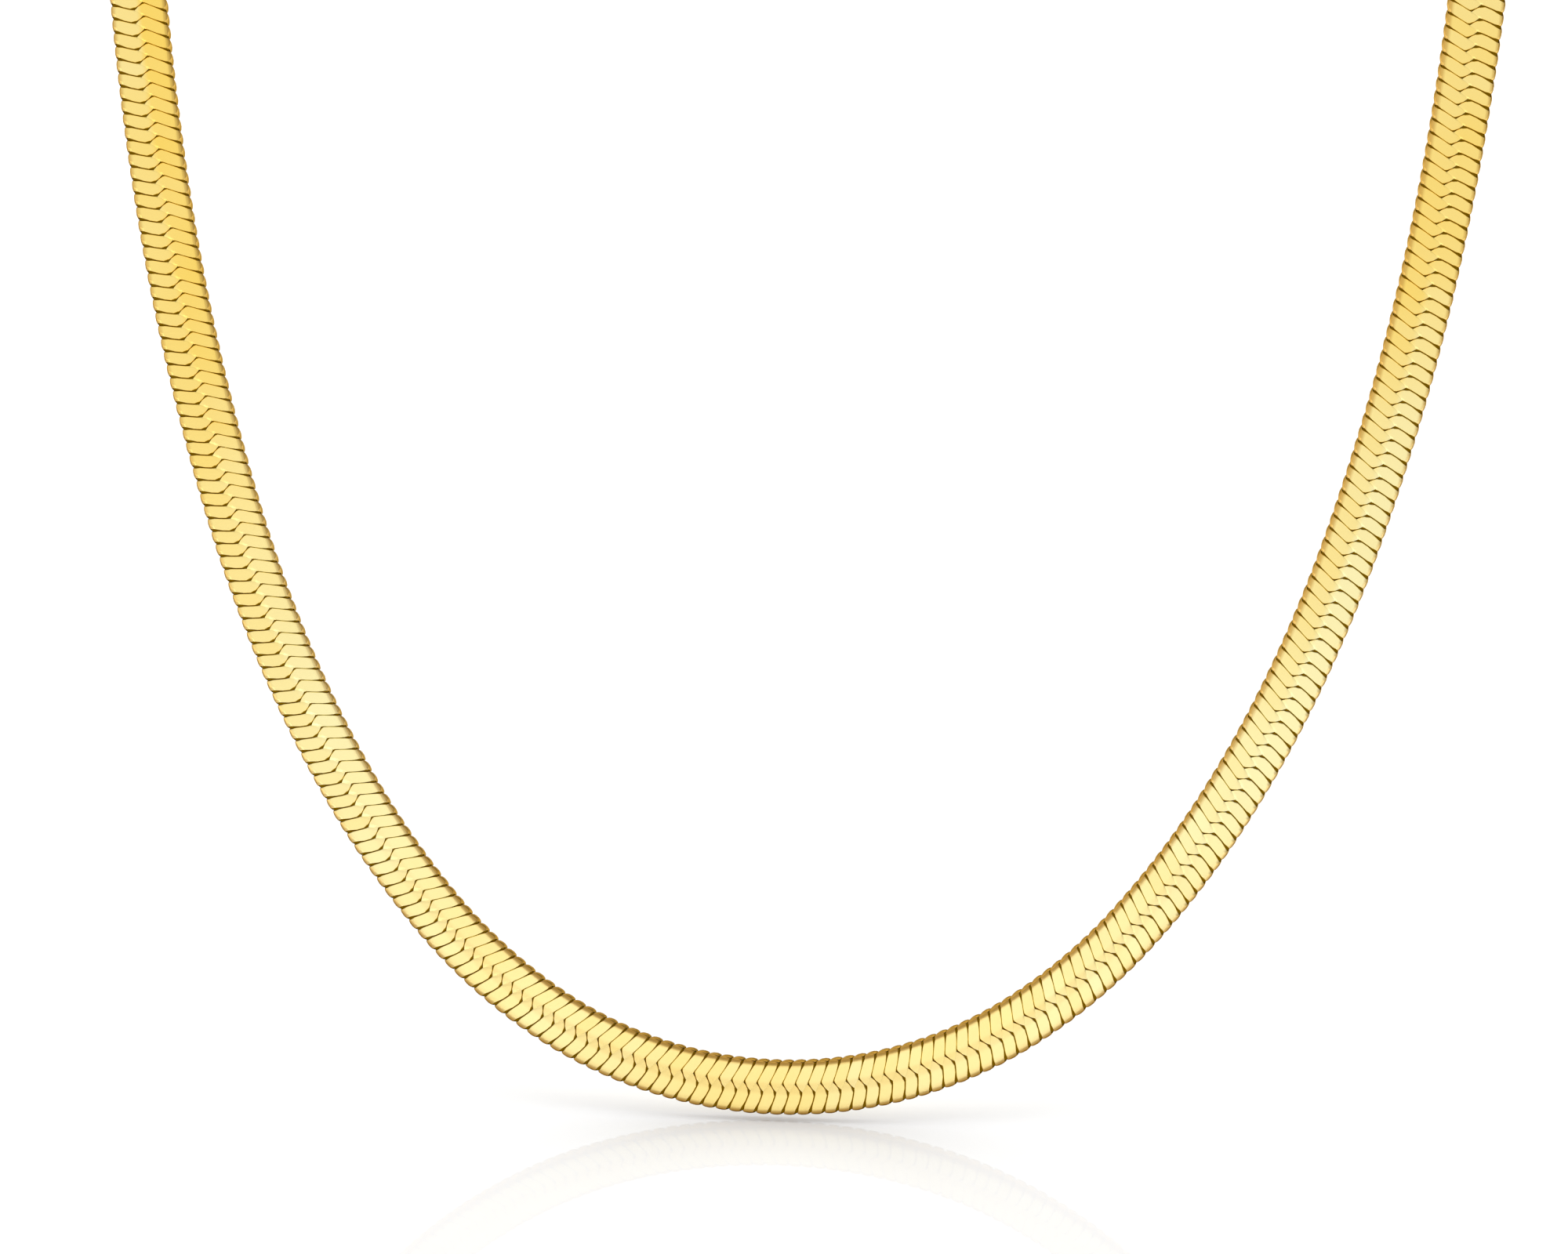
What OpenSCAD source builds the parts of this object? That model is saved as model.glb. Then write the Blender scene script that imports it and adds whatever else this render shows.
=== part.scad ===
// Flat snake chain necklace. One long ribbon of interlocked flattened links hangs at the front as a U,
// rolls over the shoulders and meets behind the neck in a small plain box clasp.
// Millimetres, +Z up, the front looks towards -Y. The origin is under the middle of the clasp, where
// the chain rests on the nape.

/* [Chain] */
// Length of the closed necklace, clasp included
necklace_length = 457; // [446:1:500]
// Width of the chain across its face
chain_w = 5; // [4.4:0.1:5.4]
// Thickness of the chain over its link faces
chain_t = 1.15; // [1:0.05:1.3]
// Length that one link adds to the chain
link_pitch = 1.16; // [1.1:0.02:1.4]
// Depth of the line between two links, on the faces
line_depth = 0.13; // [0.05:0.01:0.2]
// Depth of the dip between two links, along the edges
edge_dip = 0.2; // [0.05:0.01:0.3]

/* [Drape] */
// How far the front leans back from upright, in degrees, as on a chest
lean = 15; // [10:1:30]
// Height along the front at which the strands start to roll over the shoulders
roll_start = 100; // [98:1:110]
// Radius of the roll over the shoulders, seen from the side
roll_radius = 40; // [30:1:44]

/* [Clasp] */
// Length of the clasp along the chain
clasp_l = 12; // [10:0.5:14]
// Width of the clasp
clasp_w = 6.2; // [6:0.1:7]
// Thickness of the clasp
clasp_t = 2.4; // [2:0.1:3]
// Depth of the socket that holds each end of the chain
socket_depth = 2.6; // [2.4:0.1:3]
// Clearance round the chain in its socket
socket_gap = 0.12; // [0.1:0.01:0.2]

/* [Hidden] */
$fn = 48;

// The fall of the front U, from its lowest point up one side.
// Columns: distance along the chain in mm, heading from level in degrees.
ALONG = 0;
HEADING = 1;
drape = [
    [0, 0],
    [9.5, 14.3],
    [22.8, 34.3],
    [36, 50.1],
    [49.5, 59.9],
    [63, 67.2],
    [76, 73],
    [89.5, 76.7],
    [102.5, 80.5],
    [116, 83.6],
    [123, 85.1]
];

// The link's outline across the top face, from the inner edge of the U to the outer edge. Each link
// begins on this broken line, which steps like a flat Z.
// Columns: place across the chain in widths, set along the chain in pitches, half thickness in
// halves of chain_t, place of the highest point after the line in pitches.
ACROSS = 0;
SET = 1;
THICK = 2;
RISE = 3;
link_line = [
    [0.5, 0.3, 0, 0.5],
    [0.44, 0, 1, 0.2],
    [0.06, -0.64, 1, 0.2],
    [-0.08, -0.19, 1, 0.2],
    [-0.45, -0.56, 1, 0.2],
    [-0.5, -0.26, 0, 0.5]
];
// The line slants round the edges, and on the underside it lies this many pitches further along.
under_set = 0.6;

// Points of one ring round the chain: the top face from inner to outer edge, then the underside back.
ring_line = concat(link_line, [for (i = [4:-1:1]) [
    link_line[i][ACROSS],
    link_line[i][SET] + under_set,
    -link_line[i][THICK],
    link_line[i][RISE]
]]);
ring_n = len(ring_line);

// Length of one side, from the lowest point of the U to the middle of the clasp.
side_length = necklace_length / 2;
drape_end = drape[len(drape) - 1][ALONG];
drape_heading = drape[len(drape) - 1][HEADING];
// The chain runs straight for this length beside and under the clasp.
straight_end = clasp_l / 2 + 1;
// The chain ends this far from the middle of the clasp.
end_gap = clasp_l / 2 - socket_depth + 1;
links_side = round((side_length - end_gap) / link_pitch);
pitch = (side_length - end_gap) / links_side;

// Steps along which the route is summed.
step = 0.5;
steps = ceil((side_length + 4) / step);

function lookup_heading(s, i) =
    s <= drape[i + 1][ALONG] || i == len(drape) - 2
        ? drape[i][HEADING] + (drape[i + 1][HEADING] - drape[i][HEADING])
            * (s - drape[i][ALONG]) / (drape[i + 1][ALONG] - drape[i][ALONG])
        : lookup_heading(s, i + 1);

// Half of the U's width where the table ends.
front_x = let (n = round(drape_end / step)) sum_of([
    for (i = [0:n - 1]) step * cos(lookup_heading((i + 0.5) * step, 0))
]);
function sum_of(list) = list * [for (v = list) 1];

// Above the table the chain keeps its heading for a while and then turns in one arc until it is level
// behind the neck. The straight length is the one that brings it to the middle of the clasp.
arc_turn = (180 - drape_heading) * PI / 180;
arc_share = sin(drape_heading) / arc_turn;
hidden_length = side_length - drape_end - straight_end;
hold_length = (hidden_length * arc_share + straight_end - front_x)
    / (cos(drape_heading) + arc_share);
arc_start = drape_end + hold_length;
arc_length = hidden_length - hold_length;

// Heading at a distance along one side, in degrees from level.
function side_heading(s) =
    s < drape_end ? lookup_heading(s, 0)
    : s < arc_start ? drape_heading
    : s < arc_start + arc_length ? drape_heading + (180 - drape_heading) * (s - arc_start) / arc_length
    : 180;

// The route laid flat, as sums of its steps: sideways and up.
flat_x = [for (i = 0, x = 0; i <= steps; x = x + step * cos(side_heading((i + 0.5) * step)), i = i + 1) x];
flat_v = [for (i = 0, v = 0; i <= steps; v = v + step * sin(side_heading((i + 0.5) * step)), i = i + 1) v];
function between(list, s) = let (
    i = max(0, min(steps - 1, floor(s / step))),
    part = s / step - i
) list[i] * (1 - part) + list[i + 1] * part;

// The leaning front and the roll over the shoulders, seen from the side, against the height along them.
// Columns of a profile point: slope from level in degrees, distance back, height.
roll_turn = 90 - lean;
roll_length = roll_radius * roll_turn * PI / 180;
function profile(v) =
    v < roll_start ? [roll_turn, v * sin(lean), v * cos(lean)]
    : v < roll_start + roll_length ? let (slope = roll_turn - (v - roll_start) / roll_radius * 180 / PI) [
        slope,
        roll_start * sin(lean) + roll_radius * (sin(roll_turn) - sin(slope)),
        roll_start * cos(lean) + roll_radius * (cos(slope) - cos(roll_turn))
    ]
    : [
        0,
        roll_start * sin(lean) + roll_radius * sin(roll_turn) + v - roll_start - roll_length,
        roll_start * cos(lean) + roll_radius * (1 - cos(roll_turn))
    ];

// Where the nape lies, from the lowest point of the U.
nape = profile(between(flat_v, side_length));

// A point of the chain: s along it from the lowest point, minus to the left, w across it towards the
// inside of the U, t up from its middle plane.
function chain_point(s, w, t) = let (
    side = s < 0 ? -1 : 1,
    turn = side * side_heading(abs(s)),
    x = side * between(flat_x, abs(s)),
    p = profile(between(flat_v, abs(s))),
    out = cos(turn) * w
) [
    x - sin(turn) * w,
    p[1] - nape[1] + out * cos(p[0]) - t * sin(p[0]),
    p[2] - nape[2] + clasp_t / 2 + out * sin(p[0]) + t * cos(p[0])
];

// One ring of the chain: on the line between two links, or on the rise of a link.
function ring(place, rise) = [
    for (c = ring_line) chain_point(
        place + pitch * (c[SET] + (rise ? c[RISE] : 0)),
        c[ACROSS] * (chain_w - (c[THICK] == 0 && !rise ? 2 * edge_dip : 0)),
        c[THICK] * (chain_t / 2 - (rise ? 0 : line_depth))
    )
];

// A stretch of the chain as one closed solid, from one link number to another.
module chain_stretch(first, last) {
    rings = 2 * (last - first) + 1;
    body = [
        for (j = [0:rings - 1]) let (i = first + floor(j / 2)) each ring(i * pitch, j % 2 == 1)
    ];
    middle = (under_set / 2 - 0.35) * pitch;
    points = concat(body, [
        chain_point(first * pitch + middle, 0, 0),
        chain_point(last * pitch + middle, 0, 0)
    ]);
    sides = [
        for (j = [0:rings - 2], k = [0:ring_n - 1]) let (
            a = j * ring_n + k,
            b = j * ring_n + (k + 1) % ring_n
        ) each [[a, a + ring_n, b + ring_n], [a, b + ring_n, b]]
    ];
    start_cap = [for (k = [0:ring_n - 1]) [len(body), k, (k + 1) % ring_n]];
    end_cap = [
        for (k = [0:ring_n - 1]) [
            len(body) + 1,
            len(body) - ring_n + (k + 1) % ring_n,
            len(body) - ring_n + k
        ]
    ];
    polyhedron(points, concat(sides, start_cap, end_cap), convexity = 10);
}

module chain_left() {
    color("gold") chain_stretch(-links_side, 0);
}

module chain_right() {
    color("gold") chain_stretch(0, links_side);
}

// A rectangle with round corners.
module round_rect(l, w, r) {
    square([l - 2 * r, w], center = true);
    square([l, w - 2 * r], center = true);
    for (x = [-1, 1], y = [-1, 1])
        translate([x * (l / 2 - r), y * (w / 2 - r)]) circle(r);
}

// The plain box clasp: a cushion-edged box with a line round each end cap, and a socket in each end.
module clasp() {
    corner = 0.9;
    cap_l = socket_depth + 0.7;
    groove = 0.2;
    color("gold") translate([0, 0, clasp_t / 2]) difference() {
        intersection() {
            translate([0, 0, -clasp_t / 2]) linear_extrude(clasp_t) round_rect(clasp_l, clasp_w, corner);
            rotate([90, 0, 90]) translate([0, 0, -clasp_l / 2])
                linear_extrude(clasp_l) round_rect(clasp_w, clasp_t, corner);
        }
        for (side = [-1, 1]) {
            translate([side * (clasp_l / 2 - socket_depth / 2 + 0.5), 0, 0])
                cube([
                    socket_depth + 1,
                    chain_w + 2 * socket_gap,
                    chain_t + 2 * socket_gap
                ], center = true);
            translate([side * (clasp_l / 2 - cap_l), 0, clasp_t / 2])
                cube([groove, clasp_w + 2, 2 * groove], center = true);
        }
    }
}

chain_left();
chain_right();
clasp();
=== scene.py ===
# %% [markdown]
# # A flat snake chain necklace
# This lesson dresses a necklace whose solids are already made. The chain was pressed flat from hundreds
# of interlocked links, so it looks like one smooth gold ribbon until the light finds the lines between
# the links. The solids come in first, as a fixed frame that nothing here moves. Their box is kept.

# %% Load the fixed frame
import math

import bpy
import numpy as np
from mathutils import Matrix, Vector


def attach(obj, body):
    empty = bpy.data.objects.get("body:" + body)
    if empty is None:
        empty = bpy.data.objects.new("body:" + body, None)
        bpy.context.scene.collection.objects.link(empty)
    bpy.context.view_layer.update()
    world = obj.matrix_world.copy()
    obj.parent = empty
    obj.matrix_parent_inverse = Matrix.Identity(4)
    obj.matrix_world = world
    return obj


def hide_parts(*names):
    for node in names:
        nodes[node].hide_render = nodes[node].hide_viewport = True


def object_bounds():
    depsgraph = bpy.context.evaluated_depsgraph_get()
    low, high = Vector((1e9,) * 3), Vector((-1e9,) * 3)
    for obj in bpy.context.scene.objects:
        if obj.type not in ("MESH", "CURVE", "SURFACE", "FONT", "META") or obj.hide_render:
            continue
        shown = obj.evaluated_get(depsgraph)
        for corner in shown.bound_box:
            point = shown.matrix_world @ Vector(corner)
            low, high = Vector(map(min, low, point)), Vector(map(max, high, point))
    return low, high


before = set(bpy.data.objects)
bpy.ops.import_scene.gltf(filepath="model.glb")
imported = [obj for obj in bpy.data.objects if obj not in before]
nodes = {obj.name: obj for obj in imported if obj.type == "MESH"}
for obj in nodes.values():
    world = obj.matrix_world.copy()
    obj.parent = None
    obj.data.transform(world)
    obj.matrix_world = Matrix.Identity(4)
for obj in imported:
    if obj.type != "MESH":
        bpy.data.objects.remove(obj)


def box_list(box):
    return [[float(v) for v in corner] for corner in box]


solid_box = box_list(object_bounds())
print("nodes", sorted(nodes), "box", solid_box)

# %% [markdown]
# ## The route of the chain
# A real flat chain bends sideways only as far as its links slide, and it rolls freely over an edge. Its
# route could be a curve object with a bevel, but a curve lets its section twist. Here the route is
# worked out as on the real necklace: first laid flat, from its heading at a few distances, and then
# wrapped over a leaning front and a round shoulder. The sizes are those of the solids, in millimetres.

# %% Sizes of the chain and its route
MM = 0.001
necklace_length, chain_w, chain_t = 457.0, 5.0, 1.15
clasp_l, clasp_t, socket_depth = 12.0, 2.4, 2.6
lean, roll_start, roll_radius = 15.0, 100.0, 40.0
step = 0.5
end_slack, link_length = 1.0, 1.16
# Columns: distance from the lowest point along one side, heading from level in degrees.
drape = np.array([
    (0, 0), (9.5, 14.3), (22.8, 34.3), (36, 50.1), (49.5, 59.9), (63, 67.2),
    (76, 73), (89.5, 76.7), (102.5, 80.5), (116, 83.6), (123, 85.1),
])
side_length = necklace_length / 2
straight_end = clasp_l / 2 + end_slack
end_gap = clasp_l / 2 - socket_depth + end_slack
links_side = round((side_length - end_gap) / link_length)
pitch = (side_length - end_gap) / links_side
drape_end, drape_heading = drape[-1]
print("links", 2 * links_side, "pitch", round(pitch, 4))

# %% Heading and the flat route
front_x = sum(step * math.cos(math.radians(np.interp((i + 0.5) * step, *drape.T)))
              for i in range(round(drape_end / step)))
arc_share = math.sin(math.radians(drape_heading)) / math.radians(180 - drape_heading)
hidden_length = side_length - drape_end - straight_end
hold_length = ((hidden_length * arc_share + straight_end - front_x)
               / (math.cos(math.radians(drape_heading)) + arc_share))
turns = np.vstack([
    drape,
    (drape_end + hold_length, drape_heading),
    (side_length - straight_end, 180),
])


def heading(s):
    return np.radians(np.interp(s, *turns.T))


past_end = 4
middles = (np.arange(math.ceil((side_length + past_end) / step)) + 0.5) * step
stations = np.append(0, middles + step / 2)
flat_x = np.append(0, np.cumsum(step * np.cos(heading(middles))))
flat_v = np.append(0, np.cumsum(step * np.sin(heading(middles))))
print("closes at x =", round(float(np.interp(side_length, stations, flat_x)), 4))

# %% Lean, roll and the place of any point of the chain
roll_turn = math.radians(90 - lean)
roll_length = roll_radius * roll_turn


def profile(v):
    """Slope, way back and way up of the wrapped route, for a place v up the flat one."""
    slope = roll_turn - np.clip((v - roll_start) / roll_radius, 0, roll_turn)
    low, past = np.minimum(v, roll_start), np.maximum(v - roll_start - roll_length, 0)
    back = low * math.cos(roll_turn) + roll_radius * (math.sin(roll_turn) - np.sin(slope)) + past
    up = low * math.sin(roll_turn) + roll_radius * (np.cos(slope) - math.cos(roll_turn))
    return slope, back, up


nape = profile(np.interp(side_length, stations, flat_v))


def chain_point(s, w, t):
    """Metres, from mm along the chain, across it towards the inside of the U and up from its middle."""
    side, along = np.where(s < 0, -1, 1), np.abs(s)
    turn = side * heading(along)
    slope, back, up = profile(np.interp(along, stations, flat_v))
    rise = np.cos(turn) * w
    return MM * np.stack([
        side * np.interp(along, stations, flat_x) - np.sin(turn) * w,
        back - nape[1] + rise * np.cos(slope) - t * np.sin(slope),
        up - nape[2] + clasp_t / 2 + rise * np.sin(slope) + t * np.cos(slope),
    ], axis=-1)


print("lowest point", chain_point(np.array([0.0]), np.array([-chain_w / 2]), np.array([0.0])).round(4))

# %% [markdown]
# ## One flattened link
# Each link began as a round loop of wire threaded through its neighbour. The rollers pressed it into a
# closed band that runs once round the chain: an inner plate and an outer plate on each face, joined by
# a fold at each edge. Seen from the front its outline steps like a flat Z. Modelling one band by hand
# and copying it would not bend with the chain, so the band is written as rows in the chain's own
# measures, along, across and up, and the route bends every copy. The rows follow the band round the
# chain, and each row crosses it from one neighbour to the next.

# %% The line between two links
# Columns: place across in widths, set along in pitches, half of the gap in mm.
seam = np.array([
    (0.456, 0.075, 0.094),
    (0.415, 0.000, 0.100),
    (0.365, -0.090, 0.052),
    (0.250, -0.310, 0.011),
    (0.160, -0.500, 0.022),
    (0.112, -0.592, 0.034),
    (0.075, -0.604, 0.074),
    (0.026, -0.480, 0.008),
    (-0.036, -0.300, 0.020),
    (-0.078, -0.196, 0.122),
    (-0.125, -0.172, 0.056),
    (-0.190, -0.225, 0.036),
    (-0.270, -0.340, 0.042),
    (-0.350, -0.460, 0.062),
    (-0.410, -0.550, 0.130),
    (-0.458, -0.620, 0.140),
])
# The two bends of the flat Z, and the outer end.
CORNER, POINT, LAST = 6, 9, len(seam) - 1
# Rows of the front face: the place on the seam before the link, the place on the seam after it, and how
# deep the row is sunk. The inner plate ends where the outer plate begins, in a faint line.
plate_rows = [
    (0, 0, 0), (1, 1, 0), (2.1, 1.8, 0), (3.6, 2.7, 0), (5, 3.6, 0), (CORNER, 4.5, 0), (7.6, 5.2, 0),
    (8.7, 5.85, 0), (POINT, CORNER, 0.007), (9.25, 6.3, 0), (10, 7.2, 0), (10.8, 8.3, 0),
    (11.6, POINT, 0), (12.3, 10.4, 0), (13, 12, 0), (14, 13.6, 0), (LAST, LAST, 0),
]
PARTING = 8
# The back runs the other way round the band and needs fewer rows.
back_rows = [plate_rows[i] for i in (16, 15, 13, 12, 10, 9, 8, 7, 5, 4, 2, 1, 0)]
# The seam slants on round the folds, so that on the back it lies this many pitches further along.
under_set = 0.3
hair_gap = 0.02


def on_seam(place):
    return [np.interp(place, np.arange(len(seam)), column) for column in seam.T]


# The fold is a narrow wall with rounded corners.
# Columns: share of the way out from the plate's end, height in halves of the thickness.
fold_line = np.array([(0.4, 0.96), (0.82, 0.8), (1.0, 0.42), (1.0, -0.42), (0.82, -0.8), (0.4, -0.96)])


def on_fold(place, tall):
    """The seam carries on round a fold, where its gap closes to a hair."""
    across, along, gap = on_seam(place)
    return [across, along + under_set / 2 * (1 - tall), hair_gap + (gap - hair_gap) * tall ** 2]


def on_back(place):
    across, along, gap = on_seam(place)
    return [across, along + under_set, gap]


rows = []
for before, after, sunk in plate_rows:
    rows.append((on_seam(before), on_seam(after), 1, sunk, 0))
for out, tall in fold_line:
    rows.append((on_fold(LAST, tall), on_fold(LAST, tall), tall, 0, -out))
for before, after, sunk in back_rows:
    rows.append((on_back(before), on_back(after), -1, sunk, 0))
for out, tall in fold_line[::-1]:
    rows.append((on_fold(0, tall), on_fold(0, tall), tall, 0, out))
print("rows round one link", len(rows))

# %% [markdown]
# ## The section of the band
# Where two links meet, the edge of a plate is slightly rounded, a thin dark gap follows, and under the
# gap a tongue of the first link runs on below the second. That tongue is what keeps the chain closed
# when it bends. On the folds the band is rounder, and this makes the small bumps along the edges.

# %% Build one link in the chain's own measures
band_depth = 0.3
near_surface, dip_shade = 0.1, 0.07
fold_tuck = 0.9
# Columns: share of the way across the link, extra mm along on a plate and on a fold, depth on a plate,
# on the inner fold and on the outer fold.
SHARE, ALONG_PLATE, ALONG_FOLD, PLATE, INNER, OUTER = range(6)
section = np.array([
    (0.00, 0.00, 0.00, 0.19, 0.30, 0.28),
    (0.00, 0.00, 0.00, 0.04, 0.19, 0.17),
    (0.00, 0.04, 0.13, 0.00, 0.09, 0.08),
    (0.32, 0.00, 0.00, 0.00, 0.02, 0.02),
    (0.62, 0.00, 0.00, 0.00, 0.00, 0.00),
    (1.00, -0.04, -0.15, 0.00, 0.07, 0.05),
    (1.00, 0.00, 0.00, 0.04, 0.18, 0.15),
    (1.00, 0.00, 0.00, 0.22, 0.30, 0.28),
    (1.00, 0.34, 0.34, 0.23, 0.31, 0.29),
    (1.00, 0.25, 0.25, band_depth, 0.36, 0.35),
    (0.42, 0.00, 0.00, band_depth, 0.36, 0.35),
])


def link_band():
    """Along, across and up in mm for each row and section point of a link, and what marks its parts."""
    along, across, up, fold, plate, shade, face = [], [], [], [], [], [], []
    for number, (before, after, tall, sunk, out) in enumerate(rows):
        start = before[1] * pitch + before[2]
        end = (1 + after[1]) * pitch - after[2]
        blend = abs(out)
        fold_depth = section[:, INNER if out > 0 else OUTER]
        depth = section[:, PLATE] * (1 - blend) + fold_depth * blend
        depth = depth + sunk * (section[:, PLATE] < near_surface)
        share = section[:, SHARE]
        fold_w = chain_w / 2 - abs(before[0]) * chain_w
        middle = np.array([before[0], after[0]]) * chain_w
        # A fold turns round the edge, and its depth goes inwards along the fold's own normal.
        reach = out * (fold_w - depth * fold_tuck)
        extra = section[:, ALONG_PLATE] * (1 - blend) + section[:, ALONG_FOLD] * blend
        along.append(start + (end - start) * share + extra)
        across.append(middle[0] + (middle[1] - middle[0]) * share + reach)
        up.append((chain_t / 2 - depth) * tall)
        fold.append(np.full(len(section), blend))
        plate.append(np.full(len(section), 1.0 if number < PARTING else 0.0))
        # A sunk row also gets painted shade, which darkens the faint line where the plates meet.
        shade.append(np.maximum(section[:, PLATE], dip_shade * (sunk > 0)))
        face.append(np.full(len(section), abs(tall)))
    return [np.array(v) for v in (along, across, up, fold, plate, shade, face)]


along, across, up, fold, plate, shade, face = link_band()
print("points in one link", along.size, "triangles", 2 * along.size)

# %% [markdown]
# ## The two halves of the chain
# The links are copied by array arithmetic and joined as they are made, one mesh for each half, because
# hundreds of separate objects would be slow to carry. Each link gets a hair of tilt of its own, as the
# rollers leave it, so that its two plates catch the light a little differently from their neighbours.

# %% Copy the link along each half
gold_parts = []
first_draw, tilt_mm, sharp_angle = 7, 0.004, 40
# The bands are a hair thinner than the solids, so that a tilted plate stays inside the solids' box.
thinner = 0.98


def chain_half(name, first, last):
    """The links from first to last as one joined mesh, with the numbers that its finish needs."""
    numbers = np.arange(first, last)
    count, (n_rows, n_sec) = len(numbers), along.shape
    wobble = np.random.default_rng(first_draw + last).normal(0, 1, (count, 4))
    tilt = (wobble[:, 0, None, None] * plate + wobble[:, 1, None, None] * (1 - plate)) * tilt_mm
    flat = (1 - fold) * np.sign(up) * (np.abs(up) > chain_t / 2 - near_surface)
    s = numbers[:, None, None] * pitch + along
    w = np.broadcast_to(across, s.shape)
    points = chain_point(s, w, up * thinner + tilt * flat * (along / pitch - 0.5))
    a = np.arange(n_rows * n_sec).reshape(n_rows, n_sec)
    b, c = np.roll(a, -1, 0), np.roll(a, -1, 1)
    d = np.roll(b, -1, 1)
    quads = np.stack([a, c, d, b], -1).reshape(-1, 4)
    quads = (quads[None] + (np.arange(count) * n_rows * n_sec)[:, None, None]).reshape(-1, 4)
    mesh = bpy.data.meshes.new(name)
    mesh.from_pydata(points.reshape(-1, 3).tolist(), [], quads.tolist())
    mesh.shade_smooth()
    mesh.set_sharp_from_angle(angle=math.radians(sharp_angle))
    for label, values in {
        "across": w / chain_w,
        "along": s / side_length,
        "depth": np.broadcast_to(shade, s.shape),
        "face": np.broadcast_to(face, s.shape),
        "link_tone": np.broadcast_to(
            (wobble[:, 2, None, None] * plate + wobble[:, 3, None, None] * (1 - plate)), s.shape),
    }.items():
        stored = mesh.attributes.new(label, "FLOAT", "POINT")
        stored.data.foreach_set("value", values.astype("f").ravel())
    piece = bpy.data.objects.new(name, mesh)
    bpy.context.scene.collection.objects.link(piece)
    gold_parts.append(piece)
    print(name, "links", count, "triangles", 2 * len(quads))
    return piece


links_left = chain_half("links_left", -links_side, 0)
links_right = chain_half("links_right", 0, links_side)
for piece, node in ((links_left, "chain_left"), (links_right, "chain_right")):
    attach(piece, "root")
    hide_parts(node)

# %% [markdown]
# ## Writing shader maths as sums
# A node tree is easier to read as a formula. The small class below wraps one socket, and Python's own
# plus, minus and times then add the Math nodes. Colours need their own nodes, because a Math node turns
# a colour grey, so they go through a Mix node instead.

# %% The socket class
def set_stops(stops, table):
    """Grey stops of a colour ramp, from a table of places and values in order."""
    while len(stops) < len(table):
        stops.new(1.0)
    for n, (place, value) in enumerate(table):
        stops[n].position, stops[n].color = place, (value, value, value, 1)


class Sock:
    def __init__(self, tree, socket):
        self.tree, self.socket = tree, socket

    def node(self, kind, settings=None, **inputs):
        """A node of this kind, with its settings first and then its socket values or links."""
        made = self.tree.nodes.new(kind)
        for key, value in (settings or {}).items():
            if key == "stops":
                set_stops(made.color_ramp.elements, value)
            else:
                setattr(made, key, value)
        for key, value in inputs.items():
            by_number = key[0] == "i" and key[1:].isdigit()
            target = made.inputs[int(key[1:]) if by_number else key.replace("_", " ")]
            if isinstance(value, Sock):
                self.tree.links.new(value.socket, target)
            else:
                target.default_value = value
        return made

    def out(self, made, output=0):
        """One output of a node, wrapped."""
        return Sock(self.tree, made.outputs[output])

    def math(self, operation, *values, clamp=False):
        return self.out(self.node("ShaderNodeMath", {"operation": operation, "use_clamp": clamp},
                                  **{f"i{n}": v for n, v in enumerate(values)}))

    def __add__(self, other):
        return self.math("ADD", self, other)

    def __radd__(self, other):
        return self.math("ADD", other, self)

    def __sub__(self, other):
        return self.math("SUBTRACT", self, other)

    def __rsub__(self, other):
        return self.math("SUBTRACT", other, self)

    def __mul__(self, other):
        return self.math("MULTIPLY", self, other)

    def __rmul__(self, other):
        return self.math("MULTIPLY", other, self)

    def __neg__(self):
        return 0.0 - self

    def __abs__(self):
        return self.math("ABSOLUTE", self)

    def clamp(self):
        return self.math("ADD", self, 0.0, clamp=True)

    def feed(self, node, name):
        """Link this value to an input of a node."""
        self.tree.links.new(self.socket, node.inputs[name])

    def ramp(self, low, high):
        """0 below low, 1 above high and smooth between them."""
        return self.out(self.node("ShaderNodeMapRange", {"interpolation_type": "SMOOTHSTEP"},
                                  Value=self, From_Min=low, From_Max=high))

    def mix(self, first, second):
        """Two colours mixed by this value."""
        made = self.node("ShaderNodeMix", {"data_type": "RGBA"}, i0=self, i6=first, i7=second)
        return self.out(made, 2)


def new_finish(name):
    """A material with its shader, and a wrapped socket to start sums from."""
    material = bpy.data.materials.new(name)
    material.use_nodes = True
    tree = material.node_tree
    shader = tree.nodes["Principled BSDF"]
    return material, shader, Sock(tree, None)


def attribute(start, name):
    """A number stored on the mesh."""
    return start.out(start.node("ShaderNodeAttribute", {"attribute_name": name}), "Fac")


def object_place(start):
    """Where a point lies on the object, so that a pattern stays with it from every side."""
    return start.out(start.node("ShaderNodeTexCoord"), "Object")


def noise(start, scale, detail=3.0, vector=None):
    place = vector or object_place(start)
    made = start.node("ShaderNodeTexNoise", {}, Vector=place, Scale=scale, Detail=detail)
    return start.out(made, "Fac")


print("methods of a socket", len([name for name in vars(Sock) if callable(getattr(Sock, name))]))

# %% [markdown]
# ## Polished gold, and the painted sheen along it
# The gold is painted a deeper yellow near the shoulders and paler along the lower U. This is painted
# sheen: the bands stand in for the reflections of the studio in the plates, a little sooner on one row of
# plates than on the other. That could be painted on an image, but here it is mixed from numbers stored on
# the links, so that it stays with them from every side and needs no unwrapping. A colour ramp holds the
# painted sheen of each row as a few listed stops. A slow noise and a number that each plate drew for
# itself keep the plates from looking printed.

# %% The painted sheen of the plates
def srgb(*levels):
    """The linear colour that nodes use, from the levels 0 to 255 that a screen shows."""
    shares = [level / 255 for level in levels]
    return tuple(v / 12.92 if v <= 0.04045 else ((v + 0.055) / 1.055) ** 2.4 for v in shares) + (1,)


deep_gold, pale_gold, brown_gold = srgb(255, 218, 106), srgb(255, 243, 182), srgb(120, 88, 2)
amber_gold, tan_gold = srgb(212, 165, 80), srgb(140, 102, 40)
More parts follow.
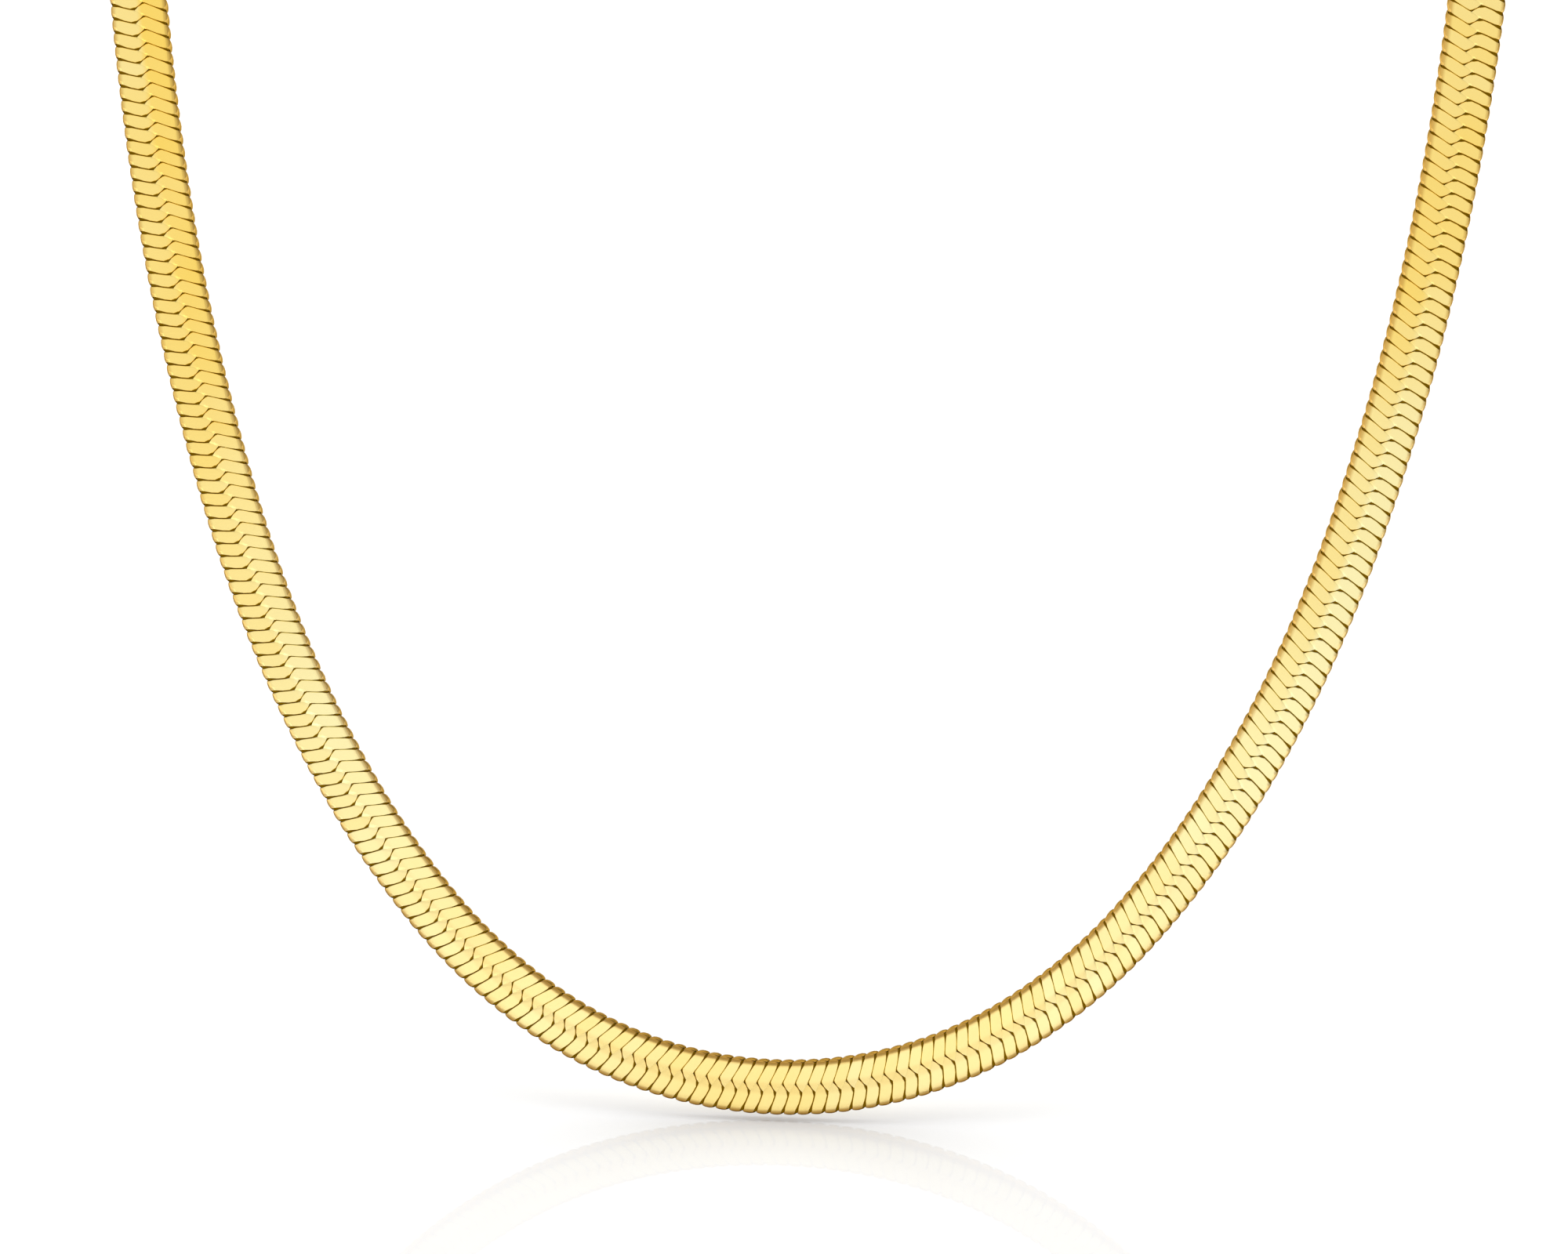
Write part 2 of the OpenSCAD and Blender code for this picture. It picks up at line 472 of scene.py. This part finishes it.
# Columns: mm along the chain from its lowest point, how pale the painted sheen makes the plates there
# from 0 to 1.
inner_sheen = [(-118, 0.08), (-95, 0.15), (-76, 0.48), (-58, 1), (-38, 0.76), (-5, 0.45), (25, 0.72),
              (52, 0.86), (68, 0.62), (88, 0.54), (98, 0.2), (110, 0.17), (118, 0.38)]
outer_sheen = [(-118, 0.5), (-107, 0.26), (-76, 0.38), (-55, 0.84), (-35, 0.8), (-5, 0.46), (25, 0.8),
              (58, 0.95), (75, 1), (90, 0.74), (104, 0.2), (112, 0.14), (118, 0.36)]
# The colour ramp spans this many mm of chain, with the lowest point in its middle.
front_span = 300


def sheen_ramp(start, table):
    """How pale the painted sheen makes the plates at each place of the chain, from a table of stops."""
    place = attribute(start, "along") * (side_length / front_span) + 0.5
    stops = [(0.5 + mm / front_span, tone) for mm, tone in table]
    return start.out(start.node("ShaderNodeValToRGB", {"stops": stops}, Fac=place), "Color")


gold, shader, start = new_finish("polished_gold_links")
edge = attribute(start, "across")
inner = edge.ramp(-0.06, 0.06)
# Painted sheen: the paler bands stand in for reflections of the studio, not for a change in the gold.
painted_sheen = inner * sheen_ramp(start, inner_sheen) + (1.0 - inner) * sheen_ramp(start, outer_sheen)
patches = noise(start, 60.0, 2.0)
plate_tone = attribute(start, "link_tone") * 0.05
plate_colour_and_sheen = (painted_sheen + (patches - 0.5) * 0.4 + plate_tone).clamp().mix(deep_gold, pale_gold)
print("stops", len(inner_sheen), "and", len(outer_sheen))

# %% [markdown]
# ## Painted shade on the ends and in the gaps
# Each plate rounds over to a fold at the chain's edge. There the gold is painted amber and then brown,
# most of all along the lowest links, as painted shade for the dark that the folds reflect. A faint
# painted amber also marks the middle, where the inner and the outer plates meet. The gaps are painted a
# deep olive brown, as painted shade. Lamps alone would leave these ends too bright, so smooth steps
# across the chain mark the painted amber and the painted brown. These painted shades are joined like
# layers of varnish, each one covering what the last left clear, so that they never add up to more than
# full.

# %% Painted amber, edge shade and gap shade
# Places across run from -0.5 at the outer edge to 0.5 at the inner one. Places along the chain run from
# -1 to 1, with 0 at the lowest point and both ends at the clasp.
along_chain, outer_edge = attribute(start, "along"), -edge
up_the_sides = (along_chain * along_chain).ramp(0.0, 0.06)
near_bottom = 1.0 - up_the_sides
right_side, left_side = along_chain.ramp(0.08, 0.3), along_chain.ramp(-0.08, -0.3)
# Painted shade: amber on the plate ends by the folds, and faintly in the middle near the lowest links.
soft_rim_shade = (edge.ramp(0.36, 0.44) * (0.32 + right_side * 0.4 - left_side * 0.12)
            + edge.ramp(0.38, 0.43) * near_bottom * 0.35
            + outer_edge.ramp(0.4, 0.46) * 0.6 + outer_edge.ramp(0.3, 0.43) * near_bottom * 0.3
            + edge.ramp(-0.16, -0.06) * edge.ramp(0.14, 0.04) * near_bottom * 0.22)
rim_shade = (soft_rim_shade + edge.ramp(0.444, 0.462) * (0.55 - right_side * 0.35)).clamp()
face_share = attribute(start, "face")
off_fold = 0.2 + face_share.ramp(0.42, 0.7) * 0.8
lip = outer_edge.ramp(0.454, 0.474) * (1.0 - up_the_sides * 0.4) * off_fold
fold_middle = inner * face_share.ramp(0.95, 0.4) * (0.3 + up_the_sides * 0.4)
inner_end = (edge.ramp(0.4, 0.44) * edge.ramp(0.48, 0.455)
             * (0.35 + near_bottom * 0.25) * (1.0 - right_side * 0.8))
outer_end = (outer_edge.ramp(0.38, 0.445) * (0.2 + near_bottom * 0.36)
             * (1.0 - right_side) * off_fold)
# Painted shade: brown on the folds and the plate ends, deepest along the lowest links.
edge_shade = 1.0 - (1.0 - lip) * (1.0 - fold_middle) * (1.0 - inner_end) * (1.0 - outer_end)
# Painted shade: the gaps between the links darken with their depth.
gap_shade = attribute(start, "depth").ramp(0.03, 0.16)
# The painted sheen, the painted amber and the painted brown shades go into one colour.
colour = gap_shade.mix(edge_shade.mix(rim_shade.mix(plate_colour_and_sheen, amber_gold), tan_gold), brown_gold)
colour.feed(shader, "Base Color")
print("gold nodes so far", len(start.tree.nodes))

# %% [markdown]
# ## The shine
# The plates are mirror bright but not perfect mirrors: the rollers leave them a little uneven, and
# polishing leaves strokes far finer than a link. Real grooves would need millions of faces, so slow
# changes of the roughness and a very shallow bump stand in for them. Both golds are made by one function,
# because a metal's colour at a glancing angle is the same on the links and on the clasp.

# %% Roughness and fine strokes
edge_tint, stroke_depth = (0.85, 0.7, 0.42, 1), 0.02 * MM


def polish(shader, roughness, strokes, strength):
    shader.inputs["Metallic"].default_value = 1.0
    shader.inputs["Specular Tint"].default_value = edge_tint
    roughness.feed(shader, "Roughness")
    bump = strokes.node("ShaderNodeBump", {}, Strength=strength, Distance=stroke_depth, Height=strokes)
    strokes.out(bump, "Normal").feed(shader, "Normal")


brushed = noise(start, 900.0, 2.0)
polish(shader, 0.2 + (noise(start, 60.0, 3.0) - 0.5) * 0.12 + gap_shade * 0.15, brushed, 0.12)
for piece in gold_parts:
    piece.data.materials.append(gold)
print("gold nodes", len(start.tree.nodes))

# %% [markdown]
# ## Polished gold for the clasp
# The clasp is a small box, drawn and polished lengthwise after it was closed. Its solid is right already,
# so it only gets a finish. The same gold would do, but its marks belong to the links. Here a noise is
# stretched along the clasp for the faint strokes of polishing, and the fine line round each end cap is
# found by its distance from the middle and from the top, and coloured dark brown.

# %% The finish of the clasp
clasp_gold, shader, start = new_finish("polished_gold_clasp")
tone, where = noise(start, 120.0, 3.0), object_place(start)
apart = start.node("ShaderNodeSeparateXYZ", {}, Vector=where)
past_socket = 0.7
cap_line = (clasp_l / 2 - socket_depth - past_socket) * MM
off_line = abs(abs(start.out(apart, "X")) - cap_line)
below_top = clasp_t * MM - start.out(apart, "Z")
# The fine line round each end cap is coloured dark brown.
in_groove = (off_line.ramp(0.16 * MM, 0.1 * MM) * below_top.ramp(0.0, 0.16 * MM)
             * below_top.ramp(0.5 * MM, 0.3 * MM))
clasp_colour = in_groove.mix((0.2 + tone * 0.5).clamp().mix(deep_gold, pale_gold), brown_gold)
clasp_colour.feed(shader, "Base Color")
stretched = start.out(start.node("ShaderNodeVectorMath", {"operation": "MULTIPLY"},
                                 i0=where, i1=(0.04, 1.0, 1.0)), "Vector")
brushing = noise(start, 9000.0, 2.0, vector=stretched)
polish(shader, 0.17 + tone * 0.1 + (brushing - 0.5) * 0.12, brushing, 0.1)
for slot in nodes["clasp"].material_slots:
    slot.material = clasp_gold
print("clasp slots", len(nodes["clasp"].material_slots))

# %% [markdown]
# ## Floor
# The necklace hangs just clear of a pale glossy floor, which shows a faint mirror image of the lowest
# links and fades to pure white further off. A huge bright room could wash the floor out, but then the
# gold would lose its dark lines as well. So the floor shines a little of its own light, more with the
# distance, and only the rest of its brightness is left for the shadow to take away.

# %% The floor
clear_of_floor, floor_reach = 0.5 * MM, 6.0
floor_z = solid_box[0][2] - clear_of_floor
mesh = bpy.data.meshes.new("floor")
corners = [(-1, -1), (1, -1), (1, 1), (-1, 1)]
mesh.from_pydata([(x * floor_reach, y * floor_reach, floor_z) for x, y in corners], [], [(0, 1, 2, 3)])
floor = bpy.data.objects.new("floor", mesh)
bpy.context.scene.collection.objects.link(floor)
white_floor, shader, start = new_finish("white_floor")
distance_out = start.out(start.node("ShaderNodeVectorMath", {"operation": "LENGTH"},
                                    i0=object_place(start)), "Value")
# Metres from the origin at the nape. The floor under the lowest links is 0.15 away.
far = distance_out.ramp(0.19, 0.46)
pale, faint_shine = (0.59, 0.59, 0.59, 1), (0.104, 0.104, 0.104, 1)
far.mix(pale, (0, 0, 0, 1)).feed(shader, "Base Color")
far.mix(faint_shine, (1, 1, 1, 1)).feed(shader, "Emission Color")
shader.inputs["Emission Strength"].default_value = 1.0
shader.inputs["Roughness"].default_value = 0.005
shader.inputs["Specular IOR Level"].default_value = 0.6
floor.data.materials.append(white_floor)
print("floor", round(clear_of_floor / MM, 2), "mm below the necklace")

# %% [markdown]
# ## Light
# Polished metal shows its surroundings more than its lamps. The room is therefore the main light, and
# plain boards round the necklace could make it. Here the world's strength changes with direction instead,
# which is quicker and has no edges to show in the metal: bright in front, where the flat plates look, on
# the left and straight above, dimmer behind and low on the right, and darkest high up behind on the
# right, which browns the folds along the edges. Low behind is one bright patch, like a white card stood
# there, and the floor mirrors it, so that the necklace's mirror image is a little darker than the floor
# round it. The camera itself sees plain white. One large soft lamp hangs above and behind, only to lay a
# soft shadow under the lowest links.

# %% The white room
world = bpy.data.worlds.new("white_room")
bpy.context.scene.world = world
world.use_nodes = True
start = Sock(world.node_tree, None)
direction = start.out(start.node("ShaderNodeTexCoord"), "Generated")
apart = start.node("ShaderNodeSeparateXYZ", {}, Vector=direction)
right, behind, upper = [start.out(apart, axis) for axis in "XYZ"]
left, front = -right, -behind
seen = start.out(start.node("ShaderNodeLightPath"), "Is Camera Ray")
# Each ramp says how far a direction must lean before it counts, and the number after it how much light
# it adds or takes away.
room = (0.74 + front.ramp(0.3, 1.0) * 0.21 + left.ramp(0.1, 0.7) * 0.2 - behind.ramp(0.0, 0.8) * 0.22
        - right.ramp(0.1, 0.8) * (0.24 - upper.ramp(0.1, 0.4) * 0.18)
        - upper.ramp(0.4, 0.9) * 0.08 + upper.ramp(0.9, 1.0) * 0.34
        - (right * upper).ramp(0.12, 0.5) * behind.ramp(0.0, 0.3) * 0.42)
card = behind.ramp(0.74, 0.84) * upper.ramp(0.18, 0.28) * upper.ramp(0.66, 0.56)
background = world.node_tree.nodes["Background"]
background.inputs["Color"].default_value = (1, 1, 1, 1)
(seen + (1.0 - seen) * (room + card * 0.74)).feed(background, "Strength")
print("world nodes", len(world.node_tree.nodes))

# %% The lamp that lays the shadow
data = bpy.data.lights.new("top_box", "AREA")
data.shape, data.size, data.size_y, data.energy = "RECTANGLE", 2.0, 1.1, 13.8
top_box = bpy.data.objects.new("top_box", data)
top_box.location, lowest_links = Vector((0.0, 0.24, 0.55)), Vector((0, -0.07, -0.12))
top_box.rotation_euler = (lowest_links - top_box.location).to_track_quat("-Z", "Y").to_euler()
top_box.visible_glossy = False
bpy.context.scene.collection.objects.link(top_box)
print("lamp", data.size, "by", round(data.size_y, 2), "m,", round(data.energy, 1), "W")

# %% [markdown]
# ## Camera
# The camera stands less than half a metre away and a little to the right, and looks down on the leaning
# front, so that the upper edges of the lowest links just show. It could be placed by eye, but its place
# was worked out from the width of the chain and the outline of the U, which both change with the angle.

# %% The camera
# The photograph is 2000 by 1600 pixels, at 14.4 pixels for each millimetre at the middle of the front.
# That middle lies 41.9 mm up the front from the lowest point of the chain's centre line.
pixels_per_mm, image_w, sensor_w = 14.4, 2000, 36
middle_x, middle_v, above_front = -0.4, 41.9, 9
distance = 0.42
look_down, look_across, turned = [math.radians(angle) for angle in (lean + above_front, 2, 0.8)]
aim = Vector(chain_point(np.array([0.0]), np.array([middle_v]), np.array([0.0]))[0])
aim += Vector((middle_x * MM, 0, 0))
away = Vector((math.sin(look_across) * math.cos(look_down),
               -math.cos(look_across) * math.cos(look_down), math.sin(look_down)))
camera_data = bpy.data.cameras.new("camera")
camera = bpy.data.objects.new("camera", camera_data)
look = (-away).to_track_quat("-Z", "Y").to_matrix().to_4x4()
camera.matrix_world = Matrix.Translation(aim + away * distance) @ look @ Matrix.Rotation(turned, 4, "Z")
camera_data.sensor_width = sensor_w
camera_data.lens = sensor_w * distance / (image_w / pixels_per_mm * MM)
camera_data.clip_start = 0.01
bpy.context.scene.collection.objects.link(camera)
bpy.context.scene.camera = camera
bpy.context.scene.view_settings.view_transform = "Standard"
print("lens", round(camera_data.lens, 1))

# %% [markdown]
# ## Measure the result
# A finish must not change the size of the thing.
